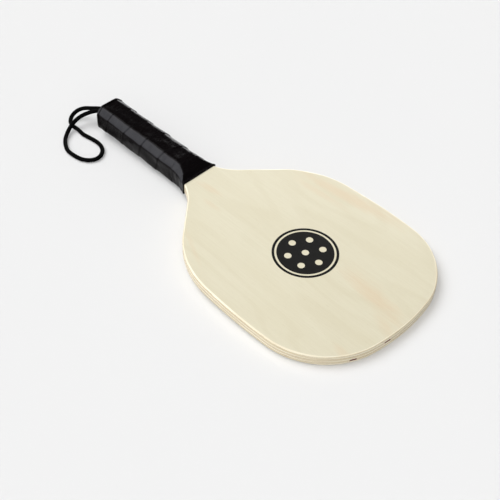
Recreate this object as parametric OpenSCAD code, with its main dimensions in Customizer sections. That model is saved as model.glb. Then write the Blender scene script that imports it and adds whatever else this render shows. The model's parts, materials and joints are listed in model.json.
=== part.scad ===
// Wooden pickleball paddle: plywood blade with its tang, two handle scales, a taped
// octagonal grip and an elastic wrist cord. Units are millimetres.
//
// The paddle is drawn flat first: x runs from the butt to the tip, y across the blade,
// and z = 0 is the blade's lower face. as_laid() then puts it on the table as it rests,
// on the tip's lower edge and the front heel of the grip, with z = 0 at the table top
// and the origin under the middle of the paddle.

/* [Blade] */
// Length of the paddle from the butt to the tip
paddle_length = 400; // [392:1:408]
// Greatest width of the blade
blade_width = 195; // [190:1:200]
// Distance from the butt to the widest station
widest_station = 298; // [294:1:302]
// Thickness of the plywood
blade_thickness = 11; // [9:0.5:12]
// Radius of the flat arc across the tip
tip_radius = 190; // [180:5:210]
// Radius of the two tip corners
corner_radius = 75; // [72:1:78]
// Radius of the long, almost straight sides
side_radius = 600; // [560:10:700]
// Radius of the full part of the shoulders
shoulder_radius = 94; // [88:1:97]
// Slope of the straight part of the shoulders, in degrees from the handle's axis
shoulder_slope = 48; // [46:0.5:50]
// Distance from the butt to where the shoulder line would cross the tang's side
shoulder_start = 142.5; // [139:0.5:145]
// Radius of the hollow curve from the tang into the shoulder
neck_radius = 60; // [54:1:64]

/* [Plies] */
// Thickness of each face veneer
face_veneer = 0.9; // [0.6:0.1:1.5]
// How far the face veneers are planed down where the handle covers them
planed_seat = 0.1; // [0.05:0.05:0.2]
// Length along the edge of the two open gaps in the long plies
gap_length = 4.5; // [2:0.5:8]
// Depth of the two open gaps
gap_depth = 5; // [3:0.5:10]

/* [Handle] */
// Width of the wooden handle between its side flats
handle_width = 31; // [29:0.5:33]
// Height of the wooden handle over both scales
handle_height = 28; // [26:0.5:30]
// Leg of the 45 degree bevels along the handle
handle_bevel = 6; // [5:0.5:7]
// Distance from the butt to where the scales start to round off
scale_straight = 117; // [112:1:119]
// Radius that rounds the front of the scales down to the blade
scale_front_radius = 24; // [22:1:27]

/* [Grip tape] */
// Distance from the butt to the end of the tape on the blade
tape_end = 139; // [137:1:141]
// Thickness of the overlapping turns of tape
tape_thickness = 1; // [0.8:0.1:1.2]
// Width of the narrow finishing band round the neck
neck_band_width = 3; // [2:0.5:4]
// Thickness of the neck band and of the fold over the butt
band_thickness = 0.5; // [0.3:0.1:0.8]
// How far the tape folded over the butt reaches along the grip
fold_reach = 2; // [1.5:0.5:4]

/* [Wrist cord] */
// Diameter of the elastic cord
cord_diameter = 4.3; // [3.8:0.1:4.4]
// Distance between the two strands where they leave the butt
strand_spacing = 4.8; // [4.6:0.1:5.2]
// Diameter of the plug that locks both strands in the butt
plug_diameter = 10; // [9.6:0.2:10.8]
// Depth of the plug's bore in the butt
plug_depth = 25; // [20:1:40]

/* [Printed mark] */
// Diameter of the printed round mark
mark_diameter = 62; // [50:1:70]
// Distance from the butt to the middle of the mark
mark_station = 282; // [270:1:290]
// Thickness of the ink
ink_thickness = 0.1; // [0.05:0.05:0.15]

/* [Hidden] */
$fn = 128;
wood_colour = "#e6dfc6";
ply_colour = "#d3c4a0";
scale_colour = "#cdb88e";
tape_colour = "#161517";
cord_colour = "#121110";
plug_colour = "#2a2928";
ink_colour = "#100f0d";

// Large enough to reach past the paddle on any side
far = 1000;

// ---- plies
inner_plies = 5;
inner_ply = (blade_thickness - 2 * face_veneer) / inner_plies;
mid_plane = blade_thickness / 2;
function inner_ply_floor(n) = face_veneer + n * inner_ply;

// ---- blade outline: every arc is tangent to the next, and the half in y > 0 is worked out
tang_half = handle_width / 2;
tip_centre = [paddle_length - tip_radius, 0];
side_centre = [widest_station, blade_width / 2 - side_radius];

// Of the two points at distance r0 from c0 and r1 from c1, the one with the greater y
function meet(c0, r0, c1, r1) =
    let (
        gap = c1 - c0,
        d = norm(gap),
        along = (r0 * r0 - r1 * r1 + d * d) / (2 * d),
        out = sqrt(r0 * r0 - along * along),
        u = gap / d,
        side = u[0] < 0 ? -1 : 1
    )
    c0 + along * u + side * out * [-u[1], u[0]];

corner_centre = meet(
    tip_centre, tip_radius - corner_radius,
    side_centre, side_radius - corner_radius
);

// The straight shoulder, and the direction that leads from it into the blade
shoulder_foot = [shoulder_start, tang_half];
shoulder_run = [cos(shoulder_slope), sin(shoulder_slope)];
shoulder_inward = [sin(shoulder_slope), -cos(shoulder_slope)];

// Centre on the line through p along u that lies at distance r from c, on its far side
function reach(p, u, c, r) =
    let (w = p - c, b = w * u)
    p + u * (sqrt(b * b - w * w + r * r) - b);

shoulder_centre = reach(
    shoulder_foot + shoulder_inward * shoulder_radius, shoulder_run,
    side_centre, side_radius - shoulder_radius
);
neck_centre = [
    shoulder_start - neck_radius * tan(shoulder_slope / 2),
    tang_half + neck_radius
];

function unit(v) = v / norm(v);
function direction(v) = atan2(v[1], v[0]);

// Directions, seen from the arcs' centres, at which each arc passes into the next
neck_end = shoulder_slope - 90;
shoulder_start_turn = shoulder_slope + 90;
shoulder_end = direction(shoulder_centre - side_centre);
side_end = direction(corner_centre - side_centre);
corner_end = direction(corner_centre - tip_centre);

// Points along an arc, without its last one, moved outward from its centre by grow.
// There are enough of them for the chords to stay within chord_error of the arc.
chord_error = 0.03;
function arc(centre, radius, from, to, grow = 0) =
    let (steps = ceil(abs(to - from) / (2 * acos(1 - chord_error / radius))))
    [for (i = [0 : steps - 1])
        let (turn = from + (to - from) * i / steps)
        centre + (radius + grow) * [cos(turn), sin(turn)]];

// The hollow neck, moved outward from the handle by grow
function neck_arc(grow) =
    concat(
        arc(neck_centre, neck_radius, -90, neck_end, -grow),
        [neck_centre + (neck_radius - grow) * shoulder_inward]
    );

half_outline = concat(
    [[0, tang_half]],
    neck_arc(0),
    arc(shoulder_centre, shoulder_radius, shoulder_start_turn, shoulder_end),
    arc(side_centre, side_radius, shoulder_end, side_end),
    arc(corner_centre, corner_radius, side_end, corner_end),
    arc(tip_centre, tip_radius, corner_end, 0)
);

// Half of a closed outline in y > 0, with its mirror image in y < 0
module mirrored_outline(half, middle = []) {
    back = [for (i = [len(half) - 1 : -1 : 0]) [half[i][0], -half[i][1]]];
    polygon(concat(half, middle, back));
}

module blade_outline() {
    mirrored_outline(half_outline, [[paddle_length, 0]]);
}

// The tang up to the end of the hollow neck, grown outward
module tang_outline(grow) {
    mirrored_outline(concat([[0, tang_half + grow]], neck_arc(grow)));
}

// ---- rest pose on the table
// The grip's lower side is straight up to the heel, then an arc about heel_centre
grip_half_height = handle_height / 2 + tape_thickness;
heel_radius = scale_front_radius + tape_thickness;
heel_centre = [scale_straight, mid_plane - grip_half_height + heel_radius];
heel_to_tip = paddle_length - heel_centre[0];
rest_tilt = asin(heel_radius / norm([heel_to_tip, heel_centre[1]]))
    - atan2(heel_centre[1], heel_to_tip);

// Place in the laid frame, before centring, of the flat drawing's point [x, y, z]
function tilted(p) = [
    (p[0] - paddle_length) * cos(rest_tilt) + p[2] * sin(rest_tilt) + paddle_length,
    p[1],
    (paddle_length - p[0]) * sin(rest_tilt) + p[2] * cos(rest_tilt)
];
butt_low_corner = tilted([-band_thickness, 0, mid_plane - grip_half_height - band_thickness]);
tip_high_corner = tilted([paddle_length, 0, blade_thickness]);
centre_x = (butt_low_corner[0] + tip_high_corner[0]) / 2;
function laid(p) = tilted(p) - [centre_x, 0, 0];

module as_laid() {
    translate([paddle_length - centre_x, 0, 0])
        rotate([0, rest_tilt, 0])
            translate([-paddle_length, 0, 0])
                children();
}

// ---- plies
module ply(floor, thickness) {
    translate([0, 0, floor]) linear_extrude(thickness) blade_outline();
}

// Slab that planes a face veneer from the butt to the end of the tape
module planed_area(floor) {
    translate([-far, -far, floor])
        cube([far + tape_end, 2 * far, planed_seat]);
}

// Open gap in the edge of a ply, cut straight in towards the given centre
module edge_gap(centre, radius, angle, floor) {
    translate([centre[0], centre[1], floor])
        rotate([0, 0, angle])
            translate([radius - gap_depth, -gap_length / 2, 0])
                cube([2 * gap_depth, gap_length, inner_ply]);
}

// Directions of the two gaps, about the centre of the arc that they open in
upper_gap_angle = -6.5;
lower_gap_angle = -26.5;

module top_face_veneer() {
    color(wood_colour) as_laid() difference() {
        ply(blade_thickness - face_veneer, face_veneer);
        planed_area(blade_thickness - planed_seat);
        plug_cylinder();
    }
}

module bottom_face_veneer() {
    color(wood_colour) as_laid() difference() {
        ply(0, face_veneer);
        planed_area(0);
        plug_cylinder();
    }
}

module inner_ply_with_bore(n) {
    difference() {
        ply(inner_ply_floor(n), inner_ply);
        plug_cylinder();
    }
}

module upper_crossband() {
    color(ply_colour) as_laid() inner_ply_with_bore(4);
}

module upper_long_ply() {
    color(ply_colour) as_laid() difference() {
        inner_ply_with_bore(3);
        edge_gap(tip_centre, tip_radius, upper_gap_angle, inner_ply_floor(3));
    }
}

module centre_crossband() {
    color(ply_colour) as_laid() inner_ply_with_bore(2);
}

module lower_long_ply() {
    color(ply_colour) as_laid() difference() {
        inner_ply_with_bore(1);
        edge_gap([corner_centre[0], -corner_centre[1]], corner_radius,
            lower_gap_angle, inner_ply_floor(1));
    }
}

module lower_crossband() {
    color(ply_colour) as_laid() inner_ply_with_bore(0);
}

// ---- handle shape: the octagon, its rounded front and the flare into the shoulders
// Octagon across the grip, grown outward, with its side flats at the given half width
module bevelled_section(grow, half_width) {
    half_height = handle_height / 2 + grow;
    bevel_reach = handle_width / 2 + handle_height / 2 - handle_bevel + grow * sqrt(2);
    intersection() {
        square([2 * half_width, 2 * half_height], center = true);
        rotate(45) square(bevel_reach * sqrt(2), center = true);
    }
}

// Stretch a section along x from one station to another
module along_grip(from, to) {
    translate([from, 0, mid_plane])
        rotate([90, 0, 90])
            linear_extrude(to - from) children();
}

// Upper half of the side view: straight, then rounded down towards the blade
module side_view(grow) {
    half_height = handle_height / 2 + grow;
    radius = scale_front_radius + grow;
    square([scale_straight, half_height]);
    intersection() {
        translate([scale_straight, half_height - radius]) circle(r = radius);
        translate([scale_straight, 0]) square([radius, half_height]);
    }
}

// The handle without its tape, or grown outward to the tape's outer face
module handle_shape(grow) {
    flare = blade_width / 2;
    intersection() {
        along_grip(0, tape_end) bevelled_section(grow, flare);
        translate([0, flare, mid_plane])
            rotate([90, 0, 0])
                linear_extrude(2 * flare) {
                    side_view(grow);
                    mirror([0, 1, 0]) side_view(grow);
                }
        translate([0, 0, mid_plane - handle_height])
            linear_extrude(2 * handle_height)
                tang_outline(grow);
    }
}

// The scale on the upper face; the lower one is its mirror image
module scale_on_top() {
    seat = blade_thickness - planed_seat;
    difference() {
        handle_shape(0);
        translate([-far, -far, seat - 2 * far]) cube(2 * far);
        plug_cylinder();
    }
}

module upper_handle_scale() {
    color(scale_colour) as_laid() scale_on_top();
}

module lower_handle_scale() {
    color(scale_colour) as_laid()
        translate([0, 0, blade_thickness])
            mirror([0, 0, 1])
                scale_on_top();
}

// ---- tape
// The spiral turns end, and the throat's turns begin, where the handle stops being straight
tape_split = min(neck_centre[0], scale_straight);

module spiral_grip_tape() {
    color(tape_colour) as_laid()
        along_grip(fold_reach, tape_split) difference() {
            bevelled_section(tape_thickness, handle_width / 2 + tape_thickness);
            bevelled_section(0, handle_width / 2);
        }
}

// The planed tang between two stations, grown outward
module taped_tang(grow, from, to) {
    half = blade_thickness / 2 - planed_seat + grow;
    intersection() {
        translate([0, 0, mid_plane - half])
            linear_extrude(2 * half)
                tang_outline(grow);
        translate([from, -far, -far]) cube([to - from, 2 * far, 2 * far]);
    }
}

module throat_tape() {
    color(tape_colour) as_laid() difference() {
        union() {
            handle_shape(tape_thickness);
            taped_tang(tape_thickness, tape_split, tape_end);
        }
        translate([-far, -far, -far]) cube([far + tape_split, 2 * far, 2 * far]);
        handle_shape(0);
        taped_tang(0, 0, far);
    }
}

// Last narrow turn of tape, square round the neck on top of the throat tape
module neck_finishing_band() {
    color(tape_colour) as_laid() difference() {
        taped_tang(tape_thickness + band_thickness, tape_end - neck_band_width, tape_end);
        handle_shape(tape_thickness);
        taped_tang(tape_thickness, 0, far);
    }
}

// Tape turned over the end of the handle, with a hole for the plug
module butt_tape_fold() {
    fold = tape_thickness + band_thickness;
    color(tape_colour) as_laid() difference() {
        along_grip(-band_thickness, fold_reach)
            bevelled_section(fold, handle_width / 2 + fold);
        along_grip(0, fold_reach) bevelled_section(0, handle_width / 2);
        plug_cylinder();
    }
}

// ---- plug that locks both strands of the cord in the butt
module plug_cylinder() {
    translate([-band_thickness, 0, mid_plane])
        rotate([0, 90, 0])
            cylinder(d = plug_diameter, h = plug_depth + band_thickness);
}

module cord_anchor_plug() {
    color(plug_colour) as_laid() plug_cylinder();
}

// ---- wrist cord: out of the plug, down to the table, round in a loop and back
// Points that the middle of the cord follows, in the laid frame
cord_route = [
    [-208, 1, 19], [-216, -3, 18], [-224, -7, 16], [-232, -10, 13],
    [-238, -15, 9], [-239, -21, 5.5], [-236, -26, 3], [-229, -29, 2.25],
    [-220, -29, 2.25], [-210, -30, 2.25], [-201, -29, 2.25], [-193, -28, 2.25],
    [-185, -28, 2.25], [-176, -31, 2.25], [-170, -37, 2.25], [-168, -44, 2.25],
    [-171, -51, 2.25], [-178, -56, 2.25], [-188, -58, 2.25], [-198, -58, 2.25],
    [-208, -54, 2.25], [-216, -48, 2.5], [-222, -40, 4], [-226, -30, 7],
    [-226, -22, 10], [-223, -15, 13], [-218, -10, 16], [-211, -6, 19]
];
cord_sides = 10;

function strand_mouth(side) =
    laid([-band_thickness, side * strand_spacing / 2, mid_plane]);
cord_path = concat([strand_mouth(1)], cord_route, [strand_mouth(-1)]);
cord_last = len(cord_path) - 1;
out_of_butt = [-cos(rest_tilt), 0, sin(rest_tilt)];

// Direction of the cord at a point of its path
function cord_heading(i) =
    i == 0 ? out_of_butt
    : i == cord_last ? -out_of_butt
    : unit(cord_path[i + 1] - cord_path[i - 1]);

// Ring of points square to the cord at a point of its path
function cord_ring(i) =
    let (
        heading = cord_heading(i),
        level = unit(cross(heading, [0, 0, 1])),
        rise = cross(level, heading)
    )
    [for (k = [0 : cord_sides - 1])
        let (turn = 360 * k / cord_sides)
        cord_path[i] + cord_diameter / 2 * (cos(turn) * level + sin(turn) * rise)];

module wrist_cord() {
    points = [for (i = [0 : cord_last]) each cord_ring(i)];
    walls = [
        for (i = [0 : cord_last - 1])
            for (k = [0 : cord_sides - 1])
                let (
                    next = (k + 1) % cord_sides,
                    a = i * cord_sides + k,
                    b = i * cord_sides + next,
                    c = a + cord_sides,
                    d = b + cord_sides
                )
                each [[a, b, d], [a, d, c]]
    ];
    start_cap = [for (k = [cord_sides - 1 : -1 : 0]) k];
    end_cap = [for (k = [0 : cord_sides - 1]) cord_last * cord_sides + k];
    color(cord_colour)
        polyhedron(points = points, faces = concat([start_cap], walls, [end_cap]));
}

// ---- printed mark: a plain perforated ball in a ring
module face_mark() {
    ball_radius = 0.43 * mark_diameter;
    ring_inner_radius = 0.46 * mark_diameter;
    hole_radius = 0.055 * mark_diameter;
    color(ink_colour) as_laid()
        translate([mark_station, 0, blade_thickness])
            linear_extrude(ink_thickness) {
                difference() {
                    circle(d = mark_diameter);
                    circle(r = ring_inner_radius);
                }
                difference() {
                    circle(r = ball_radius);
                    circle(r = hole_radius);
                    for (turn = [0 : 60 : 300])
                        rotate(turn)
                            translate([0.27 * mark_diameter, 0])
                                circle(r = hole_radius);
                }
            }
}

top_face_veneer();
upper_crossband();
upper_long_ply();
centre_crossband();
lower_long_ply();
lower_crossband();
bottom_face_veneer();
upper_handle_scale();
lower_handle_scale();
spiral_grip_tape();
throat_tape();
neck_finishing_band();
butt_tape_fold();
cord_anchor_plug();
wrist_cord();
face_mark();
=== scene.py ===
"""Looks of the wooden pickleball paddle: plywood blade, taped octagonal grip, wrist cord.

The pieces are drawn flat in millimetres, as the part's source draws the paddle: x runs from
the butt to the tip, y across the blade, and z = 0 is the blade's lower face. laid() puts them
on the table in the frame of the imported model, in metres.
"""

import json
import math

import bpy
import numpy as np
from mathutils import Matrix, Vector, noise


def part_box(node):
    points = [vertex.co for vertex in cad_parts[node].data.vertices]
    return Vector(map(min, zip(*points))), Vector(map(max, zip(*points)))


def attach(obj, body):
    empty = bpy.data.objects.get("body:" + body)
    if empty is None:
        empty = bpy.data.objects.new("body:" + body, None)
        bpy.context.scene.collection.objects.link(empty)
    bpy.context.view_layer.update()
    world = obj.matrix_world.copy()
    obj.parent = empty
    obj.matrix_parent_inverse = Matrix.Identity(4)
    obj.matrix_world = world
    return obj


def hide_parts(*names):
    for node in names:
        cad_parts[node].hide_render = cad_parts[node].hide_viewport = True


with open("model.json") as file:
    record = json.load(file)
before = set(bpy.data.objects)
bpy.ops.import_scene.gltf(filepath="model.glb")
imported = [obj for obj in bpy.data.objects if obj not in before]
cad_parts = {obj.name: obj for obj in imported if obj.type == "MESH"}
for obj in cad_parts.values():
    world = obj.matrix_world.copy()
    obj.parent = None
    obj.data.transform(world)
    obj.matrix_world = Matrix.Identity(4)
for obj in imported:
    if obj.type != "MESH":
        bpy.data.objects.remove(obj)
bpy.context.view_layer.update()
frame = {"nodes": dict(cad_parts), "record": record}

MM = 0.001

# ---- sizes of the part, in millimetres
PADDLE_LENGTH = 400.0
BLADE_WIDTH = 195.0
WIDEST_STATION = 298.0
BLADE_THICKNESS = 11.0
TIP_RADIUS = 190.0
CORNER_RADIUS = 75.0
SIDE_RADIUS = 600.0
SHOULDER_RADIUS = 94.0
SHOULDER_SLOPE = math.radians(48)
SHOULDER_START = 142.5
NECK_RADIUS = 60.0
FACE_VENEER = 0.9
PLANED_SEAT = 0.1
INNER_PLIES = 5
INNER_PLY = (BLADE_THICKNESS - 2 * FACE_VENEER) / INNER_PLIES
MID_PLANE = BLADE_THICKNESS / 2
TANG_HALF = 15.5
HANDLE_HALF_HEIGHT = 14.0
HANDLE_BEVEL = 6.0
SCALE_STRAIGHT = 117.0
SCALE_FRONT_RADIUS = 24.0
TAPE_END = 139.0
TAPE_THICKNESS = 1.0
BAND_THICKNESS = 0.5
NECK_BAND_WIDTH = 3.0
FOLD_REACH = 2.0
CORD_DIAMETER = 4.3
STRAND_SPACING = 4.8
PLUG_DIAMETER = 10.0

# ---- rest pose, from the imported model
back_face = next(
    m for m in frame["record"]["mounts"] if m["kind"] == "flat_face"
)
TILT = math.asin(-back_face["axis"][0])
TIP_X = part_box("bottom_face_veneer")[1].x / MM - FACE_VENEER * math.sin(TILT)


def laid(points):
    """Flat drawing's points, in millimetres, as an array of points in the frame, in metres."""
    p = np.asarray(points, float).reshape(-1, 3)
    along = p[:, 0] - PADDLE_LENGTH
    c, s = math.cos(TILT), math.sin(TILT)
    x = along * c + p[:, 2] * s + TIP_X
    z = -along * s + p[:, 2] * c
    return np.stack([x, p[:, 1], z], 1) * MM


# ---- camera: a short telephoto from over the tip's right corner
CAMERA_PLACE = Vector((0.51009, -0.49183, 0.67723))
CAMERA_TARGET = Vector((0.03417, -0.02339, 0.0))
camera_data = bpy.data.cameras.new("camera")
camera_data.sensor_width = 36
camera_data.lens = 73.11
camera = bpy.data.objects.new("camera", camera_data)
camera.location = CAMERA_PLACE
camera.rotation_mode = "QUATERNION"
camera.rotation_quaternion = (CAMERA_TARGET - CAMERA_PLACE).to_track_quat("-Z", "Y")
bpy.context.scene.collection.objects.link(camera)
bpy.context.scene.camera = camera


# ---- node helpers
class Shader:
    """A material's node tree, with short calls for the nodes that it uses."""

    def __init__(self, name):
        self.material = bpy.data.materials.new(name)
        self.material.use_nodes = True
        self.tree = self.material.node_tree
        self.tree.nodes.clear()
        self.output = self.tree.nodes.new("ShaderNodeOutputMaterial")
        self.bsdf = self.tree.nodes.new("ShaderNodeBsdfPrincipled")
        self.link(self.bsdf.outputs[0], self.output.inputs["Surface"])

    def link(self, a, b):
        self.tree.links.new(a, b)

    def feed(self, socket, value):
        """Link an output to a socket, or set the socket's own value."""
        if isinstance(value, bpy.types.NodeSocket):
            self.link(value, socket)
        elif value is not None:
            socket.default_value = value

    def uv(self):
        node = self.tree.nodes.new("ShaderNodeUVMap")
        node.uv_map = "flat"
        return node.outputs[0]

    def place(self):
        return self.tree.nodes.new("ShaderNodeTexCoord").outputs["Object"]

    def facing(self):
        return self.tree.nodes.new("ShaderNodeTexCoord").outputs["Normal"]

    def scaled(self, vector, scale, offset=(0, 0, 0), turn=0.0):
        node = self.tree.nodes.new("ShaderNodeMapping")
        self.link(vector, node.inputs["Vector"])
        node.inputs["Scale"].default_value = scale
        node.inputs["Location"].default_value = offset
        node.inputs["Rotation"].default_value = (0, 0, turn)
        return node.outputs[0]

    def noise(self, vector, scale=1.0, detail=2.0, rough=0.5, warp=0.0):
        node = self.tree.nodes.new("ShaderNodeTexNoise")
        self.link(vector, node.inputs["Vector"])
        node.inputs["Scale"].default_value = scale
        node.inputs["Detail"].default_value = detail
        node.inputs["Roughness"].default_value = rough
        node.inputs["Distortion"].default_value = warp
        return node.outputs["Fac"]

    def math(self, operation, a, b=None, clamp=False):
        node = self.tree.nodes.new("ShaderNodeMath")
        node.operation = operation
        node.use_clamp = clamp
        self.feed(node.inputs[0], a)
        self.feed(node.inputs[1], b)
        return node.outputs[0]

    def step(self, value, low, high, to_low=0.0, to_high=1.0):
        """Smooth step from to_low below low to to_high above high."""
        node = self.tree.nodes.new("ShaderNodeMapRange")
        node.interpolation_type = "SMOOTHSTEP"
        self.feed(node.inputs["Value"], value)
        node.inputs["From Min"].default_value = low
        node.inputs["From Max"].default_value = high
        node.inputs["To Min"].default_value = to_low
        node.inputs["To Max"].default_value = to_high
        return node.outputs[0]

    def mix(self, factor, a, b):
        node = self.tree.nodes.new("ShaderNodeMix")
        node.data_type = "RGBA"
        self.feed(node.inputs["Factor"], factor)
        self.feed(node.inputs["A"], a)
        self.feed(node.inputs["B"], b)
        return node.outputs["Result"]

    def split(self, vector):
        node = self.tree.nodes.new("ShaderNodeSeparateXYZ")
        self.link(vector, node.inputs[0])
        return node.outputs

    def bump(self, height, distance, strength=1.0):
        node = self.tree.nodes.new("ShaderNodeBump")
        self.link(height, node.inputs["Height"])
        node.inputs["Distance"].default_value = distance
        node.inputs["Strength"].default_value = strength
        return node.outputs[0]

    def finish(self, colour, roughness, normal=None, **fixed):
        self.feed(self.bsdf.inputs["Base Color"], colour)
        self.feed(self.bsdf.inputs["Roughness"], roughness)
        self.feed(self.bsdf.inputs["Normal"], normal)
        for socket, value in fixed.items():
            self.bsdf.inputs[socket.replace("_", " ")].default_value = value
        return self.material


def srgb(red, green, blue):
    """A colour given as 0 to 255 screen values, as the linear colour that a socket takes."""
    out = []
    for value in (red, green, blue):
        v = value / 255
        out.append(v / 12.92 if v <= 0.04045 else ((v + 0.055) / 1.055) ** 2.4)
    return (*out, 1.0)


# ---- mesh helper
def make_piece(name, points, faces, face_uvs, materials, face_materials=None, crease=38):
    """A mesh piece from flat-drawing points. face_uvs holds one list of (u, v) per face.

    What would reach below the table is pressed flat against it.
    """
    mesh = bpy.data.meshes.new(name)
    placed = laid(points)
    placed[:, 2] = np.maximum(placed[:, 2], 0.0)
    mesh.from_pydata([tuple(p) for p in placed], [], faces)
    layer = mesh.uv_layers.new(name="flat")
    flat = np.array([uv for face in face_uvs for uv in face], np.float32)
    layer.data.foreach_set("uv", flat.ravel())
    for material in materials:
        mesh.materials.append(material)
    if face_materials is not None:
        mesh.polygons.foreach_set("material_index", face_materials)
    mesh.validate()
    mesh.shade_smooth()
    mesh.set_sharp_from_angle(angle=math.radians(crease))
    piece = bpy.data.objects.new(name, mesh)
    bpy.context.scene.collection.objects.link(piece)
    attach(piece, "root")
    return piece


class Builder:
    """Collects points and faces with their texture places for make_piece."""

    def __init__(self):
        self.points, self.faces, self.uvs, self.kinds = [], [], [], []

    def rings(self, rings, u, v, kind=0, flip=False):
        """Walls between closed rings. u has one value per point and one for the return to the
        first, v has one value per ring. Returns each ring's first index."""
        starts = []
        for ring in rings:
            starts.append(len(self.points))
            self.points.extend(ring)
        count = len(rings[0])
        for i in range(len(rings) - 1):
            a, b = starts[i], starts[i + 1]
            for k in range(count):
                n = (k + 1) % count
                face = [a + k, a + n, b + n, b + k]
                uv = [(u[k], v[i]), (u[k + 1], v[i]), (u[k + 1], v[i + 1]), (u[k], v[i + 1])]
                if flip:
                    face.reverse()
                    uv.reverse()
                self.faces.append(face)
                self.uvs.append(uv)
                self.kinds.append(kind)
        return starts

    def strip(self, a, b, count, kind=0):
        """Flat ring of faces that joins two rings already built."""
        for k in range(count):
            n = (k + 1) % count
            face = [a + k, a + n, b + n, b + k]
            self.faces.append(face)
            self.uvs.append([self.points[i][1:3] for i in face])
            self.kinds.append(kind)

    def cap(self, start, count, kind=0, flip=False, axes=(0, 1)):
        face = list(range(start, start + count))
        if flip:
            face.reverse()
        self.faces.append(face)
        self.uvs.append([(self.points[i][axes[0]], self.points[i][axes[1]]) for i in face])
        self.kinds.append(kind)

    def piece(self, name, materials, crease=38):
        return make_piece(
            name, self.points, self.faces, self.uvs, materials, self.kinds, crease
        )


# ---- outline of the blade and tang, as points with their outward directions
def meet(c0, r0, c1, r1):
    """Of the two points at distance r0 from c0 and r1 from c1, the one with the greater y."""
    gap = c1 - c0
    d = np.linalg.norm(gap)
    along = (r0 * r0 - r1 * r1 + d * d) / (2 * d)
    out = math.sqrt(r0 * r0 - along * along)
    u = gap / d
    side = -1 if u[0] < 0 else 1
    return c0 + along * u + side * out * np.array([-u[1], u[0]])


def direction(v):
    return math.atan2(v[1], v[0])


tip_centre = np.array([PADDLE_LENGTH - TIP_RADIUS, 0.0])
side_centre = np.array([WIDEST_STATION, BLADE_WIDTH / 2 - SIDE_RADIUS])
corner_centre = meet(
    tip_centre, TIP_RADIUS - CORNER_RADIUS, side_centre, SIDE_RADIUS - CORNER_RADIUS
)
shoulder_run = np.array([math.cos(SHOULDER_SLOPE), math.sin(SHOULDER_SLOPE)])
shoulder_inward = np.array([math.sin(SHOULDER_SLOPE), -math.cos(SHOULDER_SLOPE)])
shoulder_line = np.array([SHOULDER_START, TANG_HALF]) + shoulder_inward * SHOULDER_RADIUS
to_line = shoulder_line - side_centre
along_line = to_line @ shoulder_run
shoulder_centre = shoulder_line + shoulder_run * (
    math.sqrt(along_line**2 - to_line @ to_line + (SIDE_RADIUS - SHOULDER_RADIUS) ** 2)
    - along_line
)
neck_centre = np.array(
    [SHOULDER_START - NECK_RADIUS * math.tan(SHOULDER_SLOPE / 2), TANG_HALF + NECK_RADIUS]
)

OUTLINE_SPACING = 1.3


def arc(centre, radius, start, end, hollow=False):
    steps = max(2, round(abs(end - start) * radius / OUTLINE_SPACING))
    found = []
    for i in range(steps):
        turn = start + (end - start) * i / steps
        out = np.array([math.cos(turn), math.sin(turn)])
        found.append((centre + radius * out, -out if hollow else out))
    return found


def straight(a, b, out):
    steps = max(2, round(np.linalg.norm(b - a) / OUTLINE_SPACING))
    return [(a + (b - a) * i / steps, out) for i in range(steps)]


def closed_outline():
    """Points and outward directions all the way round, from the butt in the sense +y side,
    tip, -y side."""
    quarter = math.pi / 2
    neck_foot = np.array([neck_centre[0], TANG_HALF])
    neck_top = neck_centre + NECK_RADIUS * shoulder_inward
    shoulder_foot = shoulder_centre - SHOULDER_RADIUS * shoulder_inward
    half = straight(np.array([0.0, TANG_HALF]), neck_foot, np.array([0.0, 1.0]))
    half += arc(neck_centre, NECK_RADIUS, -quarter, SHOULDER_SLOPE - quarter, hollow=True)
    half += straight(neck_top, shoulder_foot, -shoulder_inward)
    half += arc(
        shoulder_centre, SHOULDER_RADIUS, SHOULDER_SLOPE + quarter,
        direction(shoulder_centre - side_centre),
    )
    half += arc(
        side_centre, SIDE_RADIUS, direction(shoulder_centre - side_centre),
        direction(corner_centre - side_centre),
    )
    half += arc(
        corner_centre, CORNER_RADIUS, direction(corner_centre - side_centre),
        direction(corner_centre - tip_centre),
    )
    half += arc(tip_centre, TIP_RADIUS, direction(corner_centre - tip_centre), 0)
    middle = [(np.array([PADDLE_LENGTH, 0.0]), np.array([1.0, 0.0]))]
    mirror = np.array([1, -1])
    lower = [(p * mirror, n * mirror) for p, n in reversed(half)]
    full = half + middle + lower
    full.reverse()
    return full


outline = closed_outline()
outline_points = np.array([p for p, _ in outline])
outline_out = np.array([n for _, n in outline])
outline_count = len(outline)
outline_run = np.concatenate([
    [0.0],
    np.cumsum(np.linalg.norm(np.roll(outline_points, -1, 0) - outline_points, axis=1)),
])


def smooth_ramp(value, low, high):
    t = np.clip((value - low) / (high - low), 0, 1)
    return t * t * (3 - 2 * t)


# The arrises are only worked where the blade is bare of tape
bare = smooth_ramp(outline_points[:, 0], 124.0, 132.0)


def waviness(seed, period, points=outline_points):
    """Smooth noise, about -0.5 to 0.5, along the outline."""
    return np.array([
        noise.noise(Vector((p[0] / period, p[1] / period, seed))) for p in points
    ])


ARRIS_RADIUS = 1.5
arris_radius = ARRIS_RADIUS * (1 + 0.35 * waviness(3.1, 28.0))


def arris_inset(z, upper):
    """How far the outline moves in at height z for the rounded arris of the upper face, or of
    the lower one."""
    depth = (BLADE_THICKNESS - z) if upper else z
    below = np.clip(arris_radius - depth, 0, None)
    return arris_radius - np.sqrt(np.clip(arris_radius**2 - below**2, 0, None))


def outline_ring(z, sanding):
    inset = np.maximum(arris_inset(z, True), arris_inset(z, False)) * bare + sanding * bare
    flat = outline_points - outline_out * inset[:, None]
    return [(x, y, z) for x, y in flat]


# ---- wood

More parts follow.
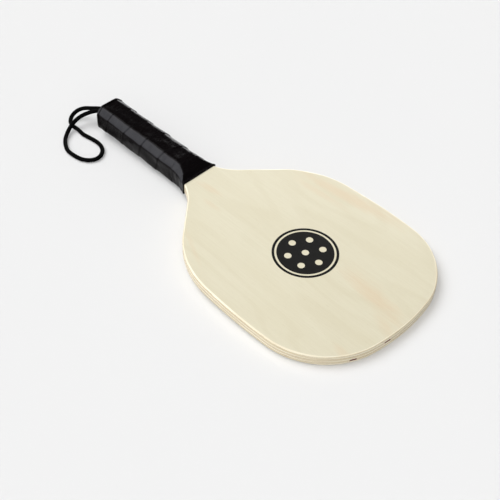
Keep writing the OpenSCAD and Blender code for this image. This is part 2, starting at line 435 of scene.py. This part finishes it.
def basswood_face():
    """Pale rotary-cut veneer: faint figure along the paddle, pinkish clouds, short flecks."""
    s = Shader("basswood_face")
    uv = s.uv()
    streaks = s.noise(s.scaled(uv, (0.022, 0.75, 1)), detail=5, rough=0.62)
    fibres = s.noise(s.scaled(uv, (0.12, 3.4, 1)), detail=3, rough=0.6)
    drift = s.noise(s.scaled(uv, (0.008, 0.03, 1), (3.1, 0.4, 0)), detail=2)
    figure_field = s.noise(s.scaled(uv, (0.0036, 0.013, 1), (1.7, 5.2, 0)), detail=1.5)
    rings = s.math("SINE", s.math("MULTIPLY", figure_field, 60.0))
    colour = s.mix(
        s.step(streaks, 0.25, 0.8), srgb(216, 210, 186), srgb(211, 204, 179)
    )
    colour = s.mix(s.step(drift, 0.35, 0.7, 0, 0.4), colour, srgb(207, 199, 171))
    colour = s.mix(s.step(rings, 0.2, 1.0, 0, 0.10), colour, srgb(192, 180, 146))

    # Pinkish-brown clouds of heartwood colour: middle, half length, half width, turn, strength
    clouds = (
        ((262, 84), 78, 10, 0.12, 0.75),
        ((236, 68), 40, 6, 0.05, 0.45),
        ((358, 6), 52, 13, -0.18, 0.80),
        ((392, -14), 22, 8, -0.30, 0.50),
        ((160, -6), 20, 5, 0.10, 0.50),
        ((178, -20), 16, 4, 0.05, 0.40),
        ((384, -62), 16, 6, -0.25, 0.55),
        ((206, -70), 34, 3, -0.45, 0.35),
    )
    wander = s.noise(s.scaled(uv, (0.03, 0.11, 1)), detail=4, rough=0.65)
    total = None
    for (x, y), half_length, half_width, turn, strength in clouds:
        c, sn = math.cos(-turn), math.sin(-turn)
        offset = (
            -(c * x / 1 - sn * y), -(sn * x + c * y), 0
        )
        turned = s.scaled(uv, (1, 1, 1), offset, -turn)
        squashed = s.scaled(turned, (1 / half_length, 1 / half_width, 0))
        length = s.tree.nodes.new("ShaderNodeVectorMath")
        length.operation = "LENGTH"
        s.link(squashed, length.inputs[0])
        ragged = s.math("ADD", length.outputs["Value"], s.math("MULTIPLY", wander, 1.3))
        cloud = s.step(ragged, 0.75, 1.75, strength, 0.0)
        total = cloud if total is None else s.math("MAXIMUM", total, cloud)
    mottled = s.math("MULTIPLY", total, s.step(streaks, 0.25, 0.7, 0.6, 1.0))
    colour = s.mix(mottled, colour, srgb(212, 193, 162))

    flecks = s.noise(s.scaled(uv, (0.16, 2.3, 1), (0.3, 7.7, 0)), detail=1.5, rough=0.4)
    fleck_mask = s.step(flecks, 0.67, 0.76, 0, 0.26)
    colour = s.mix(fleck_mask, colour, srgb(176, 158, 124))
    colour = s.mix(s.step(fibres, 0.45, 0.75, 0, 0.10), colour, srgb(188, 175, 143))
    height = s.math("ADD", streaks, s.math("MULTIPLY", fibres, 0.8))
    roughness = s.step(streaks, 0.3, 0.7, 0.46, 0.58)
    return s.finish(colour, roughness, s.bump(height, 0.00005, 0.5), Coat_Weight=0.08,
                    Coat_Roughness=0.35)


def ply_edge(name, long_grain, seed):
    """Sawn edge of one ply. Its tone goes with how much end grain shows there: at the tip in
    the plies whose grain runs along the paddle, and at the sides in the crossbands."""
    s = Shader(name)
    uv = s.uv()
    facing = s.split(s.facing())
    toward_tip = s.math("ABSOLUTE", facing["X"])
    end_grain = s.step(toward_tip, 0.25, 0.95, *((0, 1) if long_grain else (1, 0)))
    pores = s.noise(s.scaled(uv, (1.6, 2.6, 1), (seed, 0, 0)), detail=4, rough=0.7)
    streaks = s.noise(s.scaled(uv, (0.05, 3.2, 1), (seed, 1.7, 0)), detail=4, rough=0.6)
    slow = s.noise(s.scaled(uv, (0.03, 0.4, 1), (seed, 4.1, 0)), detail=2)
    long_colour = s.mix(s.step(streaks, 0.3, 0.7), srgb(247, 240, 220), srgb(238, 228, 202))
    end_colour = s.mix(s.step(pores, 0.35, 0.68), srgb(230, 215, 180), srgb(204, 185, 146))
    colour = s.mix(end_grain, long_colour, end_colour)
    colour = s.mix(s.step(slow, 0.4, 0.7, 0, 0.35), colour, srgb(214, 196, 156))
    within = s.split(uv)["Y"]
    from_middle = s.math("ABSOLUTE", s.math("SUBTRACT", s.math("MODULO", within, 10.0), 5.0))
    glue = s.step(from_middle, 0.80, 0.91, 0, 0.9)
    glue = s.math("MULTIPLY", glue, s.step(slow, 0.3, 0.6, 0.35, 1.0))
    colour = s.mix(glue, colour, srgb(98, 68, 40))
    height = s.math("ADD", pores, s.math("MULTIPLY", streaks, 0.6))
    return s.finish(colour, s.step(pores, 0.3, 0.7, 0.42, 0.58), s.bump(height, 0.00008, 0.5),
                    Coat_Weight=0.25, Coat_Roughness=0.22)


def gap_wood():
    """Rough inside of the open gaps in the long plies, with painted shade: the recess is painted
    dark, so that it stays dark under the lamps that cast no shadow.
    """
    s = Shader("gap_wood")
    grain = s.noise(s.scaled(s.uv(), (2.0, 1.2, 1)), detail=4, rough=0.7)
    # Painted shade: dark reddish brown for the shade deep in the gap
    colour = s.mix(grain, srgb(150, 62, 28), srgb(66, 24, 10))
    return s.finish(colour, 0.85, s.bump(grain, 0.0003, 0.8))


face_material = basswood_face()
gap_material = gap_wood()

# Height in the ply's texture: 5 in its middle, so that the glue lines fall at 5 -+ half of it
MIDDLE_V = 5.0


GAP_LENGTH = 4.5
GAP_DEPTH = 5.0


def gap_notch(centre, angle):
    """Numbers of the outline's points inside the open gap in this direction from a centre."""
    out = np.array([math.cos(angle), math.sin(angle)])
    side = np.array([-out[1], out[0]])
    offset = (outline_points - centre) @ side
    ahead = (outline_points - centre) @ out > 0
    inside = np.where((np.abs(offset) < GAP_LENGTH / 2) & ahead)[0]
    return inside


# For each ply with a gap: centre, direction from it and seed of the ragged edge
GAPS = {
    "upper_long_ply": (tip_centre, math.radians(-6.5), 11.3),
    "lower_long_ply": (corner_centre * [1, -1], math.radians(-26.5), 5.9),
}


def ply_levels(floor, ceiling):
    """Heights of the rings of a ply's wall, closer together where an arris is rounded."""
    levels = set(np.linspace(floor, ceiling, 4))
    for depth in (0.01, 0.04, 0.1, 0.2, 0.34, 0.5, 0.75, 1.05, 1.4):
        for z in (depth, BLADE_THICKNESS - depth):
            if floor + 0.02 < z < ceiling - 0.02:
                levels.add(z)
    return sorted(levels)


def build_ply(name, floor, ceiling, edge_material, seed):
    build = Builder()
    levels = ply_levels(floor, ceiling)
    sanding = 0.10 * waviness(seed, 9.0) + 0.06 * waviness(seed + 40, 2.6)
    rings = []
    middle = (floor + ceiling) / 2
    depth = np.zeros(outline_count)
    if name in GAPS:
        centre, angle, gap_seed = GAPS[name]
        inside = gap_notch(centre, angle)
        share = np.linspace(-1, 1, len(inside))
        ragged = waviness(gap_seed, 0.9, outline_points[inside])
        depth[inside] = GAP_DEPTH * np.clip(1.25 - share**4, 0, 1) * (0.8 + 0.4 * ragged)
    for z in levels:
        ring = np.array(outline_ring(z, sanding))
        ring[:, :2] -= outline_out * depth[:, None]
        rings.append([tuple(p) for p in ring])
    v = [z - middle + MIDDLE_V for z in levels]
    starts = build.rings(rings, outline_run, v)
    if name in GAPS:
        inside_set = set(int(i) for i in inside) | {int(inside[0]) - 1}
        for i in range(len(build.faces)):
            if i % outline_count in inside_set:
                build.kinds[i] = 2
    top, bottom = starts[-1], starts[0]
    outer_face = floor == 0 or ceiling == BLADE_THICKNESS
    face_kind = 1 if outer_face else 2
    build.cap(top, outline_count, kind=face_kind)
    build.cap(bottom, outline_count, kind=face_kind, flip=True)
    piece = build.piece(name + "_wood", [edge_material, face_material, gap_material])
    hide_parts(name)
    return piece


PLIES = (
    ("lower_crossband", "crossband_ply", False),
    ("lower_long_ply", "long_ply", True),
    ("centre_crossband", "crossband_ply", False),
    ("upper_long_ply", "long_ply", True),
    ("upper_crossband", "crossband_ply", False),
)
veneer_edge = ply_edge("veneer_edge", True, 0.7)
for place, (floor, ceiling) in {
    "bottom_face_veneer": (0.0, FACE_VENEER),
    "top_face_veneer": (BLADE_THICKNESS - FACE_VENEER, BLADE_THICKNESS),
}.items():
    veneer = build_ply(place, floor, ceiling, veneer_edge, 17.0 + floor)
for n, (node, slot_name, long_grain) in enumerate(PLIES):
    floor = FACE_VENEER + n * INNER_PLY
    edge = ply_edge(node + "_edge", long_grain, 2.3 * n)
    ply = build_ply(node, floor, floor + INNER_PLY, edge, 23.0 + 3 * n)


# ---- tape
def vinyl_tape(name, along_scale):
    """Glossy black vinyl tape, a little uneven where it was stretched. Its bevels carry a painted
    reflection: they are painted lighter grey.
    """
    s = Shader(name)
    uv = s.uv()
    stretch = s.noise(s.scaled(uv, (0.05, 0.42, 1)), detail=3, rough=0.55, warp=0.4)
    creases = s.noise(s.scaled(uv, (0.10, 1.5, 1), (2, 3, 0)), detail=2, rough=0.5, warp=0.6)
    grain = s.noise(s.scaled(uv, (5.0, 5.0, 1)), detail=2)
    colour = s.mix(stretch, (0.0016, 0.0010, 0.0012, 1), (0.0034, 0.0023, 0.0027, 1))
    # Painted reflection: the bevels, which face half across and half up, are painted lighter
    # bluish grey, as if they mirrored a bright window
    _, across, upward = s.split(s.facing())
    on_bevel = s.math("ABSOLUTE", s.math("MULTIPLY", across, upward))
    colour = s.mix(s.step(on_bevel, 0.30, 0.48, 0, 0.85), colour, (0.044, 0.044, 0.049, 1))
    height = s.math("ADD", stretch, s.math("MULTIPLY", creases, 0.35))
    height = s.math("ADD", height, s.math("MULTIPLY", grain, 0.015))
    roughness = s.step(creases, 0.3, 0.75, 0.20, 0.30)
    return s.finish(colour, roughness, s.bump(height, along_scale, 0.28), IOR=1.15)


SECTION_POINTS = 176
angles = np.linspace(0, 2 * math.pi, SECTION_POINTS, endpoint=False)


def soft_polygon(normals, distances, sharpness):
    """Polar radius of a convex outline with softly rounded corners."""
    total = 0
    for (ny, nz), distance in zip(normals, distances):
        reach = np.abs(ny * np.cos(angles)) + np.abs(nz * np.sin(angles))
        total = total + (reach / distance) ** sharpness
    return total ** (-1 / sharpness)


def half_width_at(x, grow):
    """Half width of the tang and of the hollow neck, grown outward."""
    if x <= neck_centre[0]:
        return TANG_HALF + grow
    dx = x - neck_centre[0]
    return TANG_HALF + NECK_RADIUS - math.sqrt((NECK_RADIUS - grow) ** 2 - dx * dx)


def half_height_at(x, grow):
    """Half height of the handle's side view, straight and then rounded down to the front."""
    radius = SCALE_FRONT_RADIUS + grow
    flat = HANDLE_HALF_HEIGHT + grow
    if x <= SCALE_STRAIGHT:
        return flat
    dx = min(x - SCALE_STRAIGHT, radius * 0.999)
    return max(flat - radius + math.sqrt(radius * radius - dx * dx), 0.5)


DIAGONAL = math.sqrt(0.5)


def handle_radius(x, grow, sharpness=28):
    """Polar radius, about the middle of the handle, of its section at a station."""
    bevel = (TANG_HALF + HANDLE_HALF_HEIGHT - HANDLE_BEVEL) * DIAGONAL + grow
    octagon = soft_polygon(
        ((1, 0), (0, 1), (DIAGONAL, DIAGONAL)),
        (half_width_at(x, grow), half_height_at(x, grow), bevel),
        sharpness,
    )
    if x <= neck_centre[0]:
        return octagon
    tang = soft_polygon(
        ((1, 0), (0, 1)),
        (half_width_at(x, grow), MID_PLANE - PLANED_SEAT + grow),
        sharpness * 1.6,
    )
    return np.maximum(octagon, tang)


def section_ring(x, radius, lean=None):
    """Closed ring of points at a station, with its own shift along x at each point."""
    shift = np.zeros(SECTION_POINTS) if lean is None else lean
    return [
        (x + shift[k], radius[k] * math.cos(a), MID_PLANE + radius[k] * math.sin(a))
        for k, a in enumerate(angles)
    ]


def around(radius):
    """Distance round a ring, with one more value for the return to the first point."""
    p = np.stack([radius * np.cos(angles), radius * np.sin(angles)], 1)
    return np.concatenate([[0], np.cumsum(np.linalg.norm(np.roll(p, -1, 0) - p, axis=1))])


LAP_PITCH = 26.3
LAP_FIRST = 29.1
LAP_HEIGHT = 0.62
# Least height of the tape over the wooden handle, which has sharper corners than the tape
TAPE_LEAST = 0.2
SHARP_CORNERS = 120


def surface_noise(x, scale_x, scale_turn, seed):
    """Noise on the tape's surface at a station, going round without a seam."""
    return np.array([
        noise.noise(
            Vector((x / scale_x, math.cos(a) * scale_turn + seed, math.sin(a) * scale_turn))
        )
        for a in angles
    ])


def lap_shape(x):
    """Height of the spiral turns over their mean surface, at each point of a station's ring."""
    turn = (x - LAP_FIRST) / LAP_PITCH + angles / (2 * math.pi)
    turn = turn + 0.025 * surface_noise(x, 30.0, 2.2, 8.0)
    share = turn - np.floor(turn)
    rising = np.clip(share / 0.9, 0, 1)
    falling = smooth_ramp(share, 0.92, 1.0)
    saw = rising**1.3 * (1 - falling)
    return LAP_HEIGHT * (saw - 0.45)


def spiral_outer(x):
    radius = handle_radius(x, TAPE_THICKNESS * 0.95)
    wrinkle = 0.70 * surface_noise(x, 20.0, 1.6, 1.0) + 0.17 * surface_noise(x, 6.0, 3.0, 4.0)
    over_wood = handle_radius(x, TAPE_LEAST, sharpness=SHARP_CORNERS)
    return np.maximum(radius + lap_shape(x) + wrinkle, over_wood)


def sleeve(name, stations, outer_of, inner_stations, inner_grow, material, lean_of=None):
    """Closed sleeve of tape between an outer surface and the shape that it is wound on."""
    build = Builder()
    first = outer_of(stations[0])
    outer_rings = []
    for x in stations:
        lean = None if lean_of is None else lean_of(x)
        outer_rings.append(section_ring(x, outer_of(x), lean))
    outer = build.rings(outer_rings, around(first), list(stations), flip=True)
    inner_rings = [
        section_ring(
            x, handle_radius(x, inner_grow, 60),
            None if lean_of is None else lean_of(x),
        )
        for x in inner_stations
    ]
    inner = build.rings(inner_rings, around(first), list(inner_stations))
    build.strip(outer[0], inner[0], SECTION_POINTS)
    build.strip(inner[-1], outer[-1], SECTION_POINTS)
    return build.piece(name, [material], crease=50)


grip_material = vinyl_tape("grip_vinyl", 0.00035)
spiral = sleeve(
    "spiral_grip_wrap",
    np.arange(FOLD_REACH, 116.4, 0.55),
    spiral_outer,
    np.linspace(FOLD_REACH, 116.0, 8),
    0.0,
    grip_material,
)
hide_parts("spiral_grip_tape")


# The throat's turns go squarely round: a lap's edge at each of these stations
THROAT_START = 115.4
THROAT_LAPS = ((123.0, 0.22), (131.0, 0.42), (136.0, 0.30))


def throat_outer(x):
    radius = handle_radius(x, TAPE_THICKNESS, 40)
    start = smooth_ramp(x, THROAT_START, THROAT_START + 0.8)
    raised = 0.18 * start
    for station, step in THROAT_LAPS[:2]:
        wander = 0.5 * surface_noise(station, 9.0, 1.6, station)
        raised = raised - 0.55 * step * smooth_ramp(x + wander, station - 7.0, station - 0.5)
        raised = raised + step * smooth_ramp(x + wander, station - 0.35, station + 0.35)
    wrinkle = 0.22 * surface_noise(x, 4.2, 2.8, 2.0) + 0.10 * surface_noise(x, 1.6, 5.0, 6.0)
    ending = 1 - smooth_ramp(x, TAPE_END - 0.5, TAPE_END)
    return radius + raised * ending + wrinkle * ending - 0.3 * (1 - ending)


throat = sleeve(
    "throat_wrap",
    np.concatenate([np.arange(THROAT_START, 138.8, 0.35), [TAPE_END]]),
    throat_outer,
    np.linspace(THROAT_START, TAPE_END, 20),
    0.0,
    vinyl_tape("throat_vinyl", 0.00035),
)
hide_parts("throat_tape")


def neck_band_outer(x):
    radius = handle_radius(x, TAPE_THICKNESS, 40)
    rise = smooth_ramp(x, 135.9, 136.4) * (1 - smooth_ramp(x, 138.7, TAPE_END + 0.1))
    return radius + 0.15 + 0.42 * rise + 0.06 * surface_noise(x, 1.2, 4.0, 9.0)


neck_band = sleeve(
    "neck_band_turn",
    np.linspace(TAPE_END - NECK_BAND_WIDTH - 0.1, TAPE_END + 0.1, 14),
    neck_band_outer,
    np.linspace(TAPE_END - NECK_BAND_WIDTH - 0.1, TAPE_END + 0.1, 5),
    0.0,
    vinyl_tape("neck_band_vinyl", 0.0002),
)
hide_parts("neck_finishing_band")


# ---- tape folded over the butt, with a creased corner that stands off it
def butt_fold():
    build = Builder()
    bore = PLUG_DIAMETER / 2
    profile = (
        # station, growth of the octagon; the fold turns over the edge and in to the bore
        (FOLD_REACH + 0.4, 1.15), (FOLD_REACH + 0.1, 1.48), (1.2, 1.52), (0.4, 1.46),
        (-0.1, 1.20), (-0.42, 0.75), (-0.5, 0.1),
    )
    rings = []
    for x, grow in profile:
        crumple = 0.20 * surface_noise(x, 1.6, 3.0, 12.0)
        rings.append(section_ring(x, handle_radius(0.0, grow) + crumple))
    edge = handle_radius(0.0, 0.1)
    for share in (0.2, 0.42, 0.66, 0.88, 1.0):
        radius = edge * (1 - share) + bore * share
        pleats = 0.34 * surface_noise(share * 3, 2.0, 4.5, 20.0) * math.sin(math.pi * share)
        rings.append(section_ring(-0.5, radius, -np.abs(pleats)))
    rings.append(section_ring(0.0, np.full(SECTION_POINTS, bore)))
    for x, grow in ((0.0, 0.0), (FOLD_REACH, 0.0)):
        rings.append(section_ring(x, handle_radius(0.0, grow, 60)))
    rings.append(rings[0])
    flat = around(handle_radius(0.0, 1.0))
    build.rings(rings[:-1], flat, [2.0 * i for i in range(len(rings) - 1)])
    build.strip(len(build.points) - SECTION_POINTS, 0, SECTION_POINTS)
    piece = build.piece("butt_fold_tape", [vinyl_tape("butt_vinyl", 0.0003)], crease=50)
    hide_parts("butt_tape_fold")


butt_fold()


# ---- wrist cord
CORD_ROUTE = (
    (-208, 1, 19), (-216, -3, 18), (-224, -7, 16), (-232, -10, 13),
    (-238, -15, 9), (-239, -21, 5.5), (-236, -26, 3), (-229, -29, 2.25),
    (-220, -29, 2.25), (-210, -30, 2.25), (-201, -29, 2.25), (-193, -28, 2.25),
    (-185, -28, 2.25), (-176, -31, 2.25), (-170, -37, 2.25), (-168, -44, 2.25),
    (-171, -51, 2.25), (-178, -56, 2.25), (-188, -58, 2.25), (-198, -58, 2.25),
    (-208, -54, 2.25), (-216, -48, 2.5), (-222, -40, 4), (-226, -30, 7),
    (-226, -22, 10), (-223, -15, 13), (-218, -10, 16), (-211, -6, 19),
)
CORD_RING_SPACING = 0.00045
CORD_SIDES = 28


def spline_through(knots, start_heading, end_heading, spacing):
    """Points along the smooth cubic curve through the knots, evenly spaced."""
    count = len(knots)
    t = np.concatenate([[0], np.cumsum(np.linalg.norm(np.diff(knots, axis=0), axis=1))])
    h = np.diff(t)
    slope = np.diff(knots, axis=0) / h[:, None]
    a = np.zeros((count, count))
    b = np.zeros((count, 3))
    a[0, 0] = a[-1, -1] = 1
    b[0], b[-1] = start_heading, end_heading
    for i in range(1, count - 1):
        a[i, i - 1] = h[i]
        a[i, i] = 2 * (h[i - 1] + h[i])
        a[i, i + 1] = h[i - 1]
        b[i] = 3 * (h[i] * slope[i - 1] + h[i - 1] * slope[i])
    tangent = np.linalg.solve(a, b)
    fine = []
    for i in range(count - 1):
        for share in np.linspace(0, 1, 40, endpoint=False):
            s2, s3 = share**2, share**3
            fine.append(
                (2 * s3 - 3 * s2 + 1) * knots[i] + (s3 - 2 * s2 + share) * h[i] * tangent[i]
                + (3 * s2 - 2 * s3) * knots[i + 1] + (s3 - s2) * h[i] * tangent[i + 1]
            )
    fine = np.array(fine + [knots[-1]])
    run = np.concatenate([[0], np.cumsum(np.linalg.norm(np.diff(fine, axis=0), axis=1))])
    even = np.linspace(0, run[-1], round(run[-1] / spacing) + 1)
    return np.stack([np.interp(even, run, fine[:, k]) for k in range(3)], 1), run[-1]


def braided_cord():
    """Braided sleeve over elastic: crossing strands raised on a round tube, with painted shade in
    the grooves between them.
    """
    s = Shader("braided_elastic")
    across, run = s.split(s.uv())[0:2]
    right = s.math("SINE", s.math("ADD", s.math("MULTIPLY", across, 8.0),
                                  s.math("MULTIPLY", run, 4.6)))
    left = s.math("SINE", s.math("SUBTRACT", s.math("MULTIPLY", across, 8.0),
                                 s.math("MULTIPLY", run, 4.6)))
    weave = s.math("MAXIMUM", right, left)
    threads = s.noise(s.scaled(s.uv(), (9.0, 5.0, 1)), detail=3, rough=0.6)
    # Painted shade: the grooves between the raised strands are painted darker than the strands'
    # crests
    colour = s.mix(s.step(weave, 0.1, 0.95), (0.0006, 0.0006, 0.0007, 1),
                   (0.0026, 0.0025, 0.0027, 1))
    colour = s.mix(s.step(threads, 0.6, 0.85, 0, 0.3), colour, (0.006, 0.006, 0.0065, 1))
    height = s.math("ADD", weave, s.math("MULTIPLY", threads, 0.5))
    return s.finish(colour, s.step(threads, 0.3, 0.7, 0.55, 0.75),
                    s.bump(height, 0.00018, 0.8), IOR=1.1)


def build_cord():
    mouths = laid([
        (-BAND_THICKNESS, STRAND_SPACING / 2, MID_PLANE),
        (-BAND_THICKNESS, -STRAND_SPACING / 2, MID_PLANE),
    ])
    out_of_butt = np.array([-math.cos(TILT), 0, math.sin(TILT)])
    knots = np.vstack([mouths[0], np.array(CORD_ROUTE) * MM, mouths[1]])
    path, length = spline_through(knots, out_of_butt, -out_of_butt, CORD_RING_SPACING)
    heading = np.gradient(path, axis=0)
    heading /= np.linalg.norm(heading, axis=1)[:, None]
    level = np.cross(heading, [0, 0, 1.0])
    level /= np.linalg.norm(level, axis=1)[:, None]
    rise = np.cross(level, heading)
    radius = CORD_DIAMETER / 2 * MM
    points, faces, uvs = [], [], []
    for i, middle in enumerate(path):
        run = i * CORD_RING_SPACING / MM
        for k in range(CORD_SIDES):
            turn = 2 * math.pi * k / CORD_SIDES
            weave = max(math.sin(8 * turn + 4.6 * run), math.sin(8 * turn - 4.6 * run))
            r = radius * (1 + 0.022 * weave)
            points.append(middle + r * (math.cos(turn) * level[i] + math.sin(turn) * rise[i]))
    turns = [2 * math.pi * k / CORD_SIDES for k in range(CORD_SIDES + 1)]
    for i in range(len(path) - 1):
        run = (i * CORD_RING_SPACING / MM, (i + 1) * CORD_RING_SPACING / MM)
        for k in range(CORD_SIDES):
            n = (k + 1) % CORD_SIDES
            a, b = i * CORD_SIDES, (i + 1) * CORD_SIDES
            faces.append([a + k, a + n, b + n, b + k])
            uvs.append([(turns[k], run[0]), (turns[k + 1], run[0]),
                        (turns[k + 1], run[1]), (turns[k], run[1])])
    last = (len(path) - 1) * CORD_SIDES
    faces.append(list(range(CORD_SIDES - 1, -1, -1)))
    uvs.append([(0, 0)] * CORD_SIDES)
    faces.append([last + k for k in range(CORD_SIDES)])
    uvs.append([(0, 0)] * CORD_SIDES)
    mesh = bpy.data.meshes.new("wrist_loop_cord")
    mesh.from_pydata([tuple(p) for p in points], [], faces)
    layer = mesh.uv_layers.new(name="flat")
    layer.data.foreach_set(
        "uv", np.array([uv for face in uvs for uv in face], np.float32).ravel()
    )
    mesh.materials.append(braided_cord())
    mesh.validate()
    mesh.shade_smooth()
    cord = bpy.data.objects.new("wrist_loop_cord", mesh)
    bpy.context.scene.collection.objects.link(cord)
    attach(cord, "root")
    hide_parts("wrist_cord")


build_cord()


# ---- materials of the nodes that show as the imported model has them
def ink():
    """Screen-printed black ink, thin over the wood's fibres."""
    s = Shader("printed_ink")
    place = s.place()
    cover = s.noise(s.scaled(place, (60.0, 900.0, 200.0)), detail=4, rough=0.7)
    tone = s.noise(s.scaled(place, (90.0, 160.0, 90.0)), detail=2)
    colour = s.mix(tone, srgb(12, 11, 10), srgb(18, 17, 15))
    colour = s.mix(s.step(cover, 0.70, 0.78, 0, 0.5), colour, srgb(92, 82, 64))
    return s.finish(colour, s.step(cover, 0.3, 0.7, 0.42, 0.6), s.bump(cover, 0.00003, 0.5),
                    IOR=1.2)


def plain_wood(name, pale, dark, stretch):
    s = Shader(name)
    place = s.place()
    grain = s.noise(s.scaled(place, stretch), detail=5, rough=0.6, warp=0.3)
    fine = s.noise(s.scaled(place, tuple(v * 5 for v in stretch)), detail=3)
    colour = s.mix(s.step(grain, 0.3, 0.7), pale, dark)
    colour = s.mix(s.step(fine, 0.5, 0.8, 0, 0.3), colour, dark)
    return s.finish(colour, s.step(fine, 0.3, 0.7, 0.55, 0.7), s.bump(grain, 0.0001, 0.5))


def rubber():
    s = Shader("plug_rubber")
    place = s.place()
    speck = s.noise(s.scaled(place, (900.0, 900.0, 900.0)), detail=3)
    ring = s.noise(s.scaled(place, (200.0, 200.0, 200.0)), detail=2)
    colour = s.mix(ring, srgb(34, 33, 32), srgb(52, 50, 49))
    return s.finish(colour, s.step(speck, 0.3, 0.7, 0.6, 0.8), s.bump(speck, 0.0001, 0.6))


def repaint(node, material):
    mesh = frame["nodes"][node].data
    mesh.materials.clear()
    mesh.materials.append(material)


repaint("face_mark", ink())
scale_wood = plain_wood(
    "handle_wood", srgb(206, 184, 142), srgb(178, 152, 108), (12.0, 150.0, 150.0)
)
repaint("upper_handle_scale", scale_wood)
repaint("lower_handle_scale", scale_wood)
repaint("cord_anchor_plug", rubber())


# ---- table and light
def table():
    s = Shader("table_white")
    speck = s.noise(s.scaled(s.place(), (3.0, 3.0, 3.0)), detail=3)
    colour = s.mix(speck, (0.742, 0.742, 0.742, 1), (0.750, 0.750, 0.750, 1))
    material = s.finish(colour, 0.9, Specular_IOR_Level=0.0)
    mesh = bpy.data.meshes.new("table_top")
    half = 6.0
    mesh.from_pydata(
        [(-half, -half, 0), (half, -half, 0), (half, half, 0), (-half, half, 0)], [],
        [(0, 1, 2, 3)],
    )
    mesh.materials.append(material)
    top = bpy.data.objects.new("table_top", mesh)
    bpy.context.scene.collection.objects.link(top)


table()

# Far studio surroundings: an even pale room, a bright soft window low on the left of the
# paddle's handle, and a dark back wall
world = bpy.data.worlds.new("studio")
bpy.context.scene.world = world
world.use_nodes = True
sky = world.node_tree
sky.nodes.clear()
sky_output = sky.nodes.new("ShaderNodeOutputWorld")
background = sky.nodes.new("ShaderNodeBackground")
sky.links.new(background.outputs[0], sky_output.inputs["Surface"])
sky_direction = sky.nodes.new("ShaderNodeTexCoord").outputs["Generated"]


def sky_lobe(toward, inner, outer):
    """1 within the inner angle of a direction, falling smoothly to 0 at the outer one."""
    dot = sky.nodes.new("ShaderNodeVectorMath")
    dot.operation = "DOT_PRODUCT"
    sky.links.new(sky_direction, dot.inputs[0])
    dot.inputs[1].default_value = Vector(toward).normalized()
    edge = sky.nodes.new("ShaderNodeMapRange")
    edge.interpolation_type = "SMOOTHSTEP"
    sky.links.new(dot.outputs["Value"], edge.inputs["Value"])
    edge.inputs["From Min"].default_value = math.cos(math.radians(outer))
    edge.inputs["From Max"].default_value = math.cos(math.radians(inner))
    return edge.outputs[0]


def sky_math(operation, a, b):
    node = sky.nodes.new("ShaderNodeMath")
    node.operation = operation
    for socket, value in zip(node.inputs, (a, b)):
        if isinstance(value, bpy.types.NodeSocket):
            sky.links.new(value, socket)
        else:
            socket.default_value = value
    return node.outputs[0]


# An even pale room with a darker patch, which the handle's top flat mirrors
ROOM_LIGHT = 0.36
wall = sky_math("MULTIPLY", sky_lobe((-0.50, 0.46, 0.78), 20, 40), -0.34)
total_light = sky_math("ADD", wall, ROOM_LIGHT)
sky.links.new(sky_math("MAXIMUM", total_light, 0.02), background.inputs["Strength"])


def soft_sun(name, travel, strength, spread, shadow=True):
    """A broad lamp by the way that its light travels, its strength and its width in degrees."""
    light = bpy.data.lights.new(name, "SUN")
    light.energy = strength
    light.angle = math.radians(spread)
    light.use_shadow = shadow
    holder = bpy.data.objects.new(name, light)
    holder.rotation_mode = "QUATERNION"
    holder.rotation_quaternion = Vector(travel).to_track_quat("-Z", "Y")
    bpy.context.scene.collection.objects.link(holder)


soft_sun("soft_key", (0.54, 0.19, -0.82), 1.90, 50)
soft_sun("overhead", (0.20, 0.05, -0.98), 0.40, 60)
# Fills without shadows, aimed at the bevels, the far rim and the near edges; they light the table
# and the rest of the paddle too
soft_sun("side_panel", (0.50, 0.71, -0.52), 0.74, 26, shadow=False)
soft_sun("rim_panel", (0.52, -0.80, -0.22), 1.6, 30, shadow=False)
soft_sun("front_fill", (-0.60, 0.60, -0.53), 0.68, 60, shadow=False)

bpy.context.scene.view_settings.view_transform = "Standard"
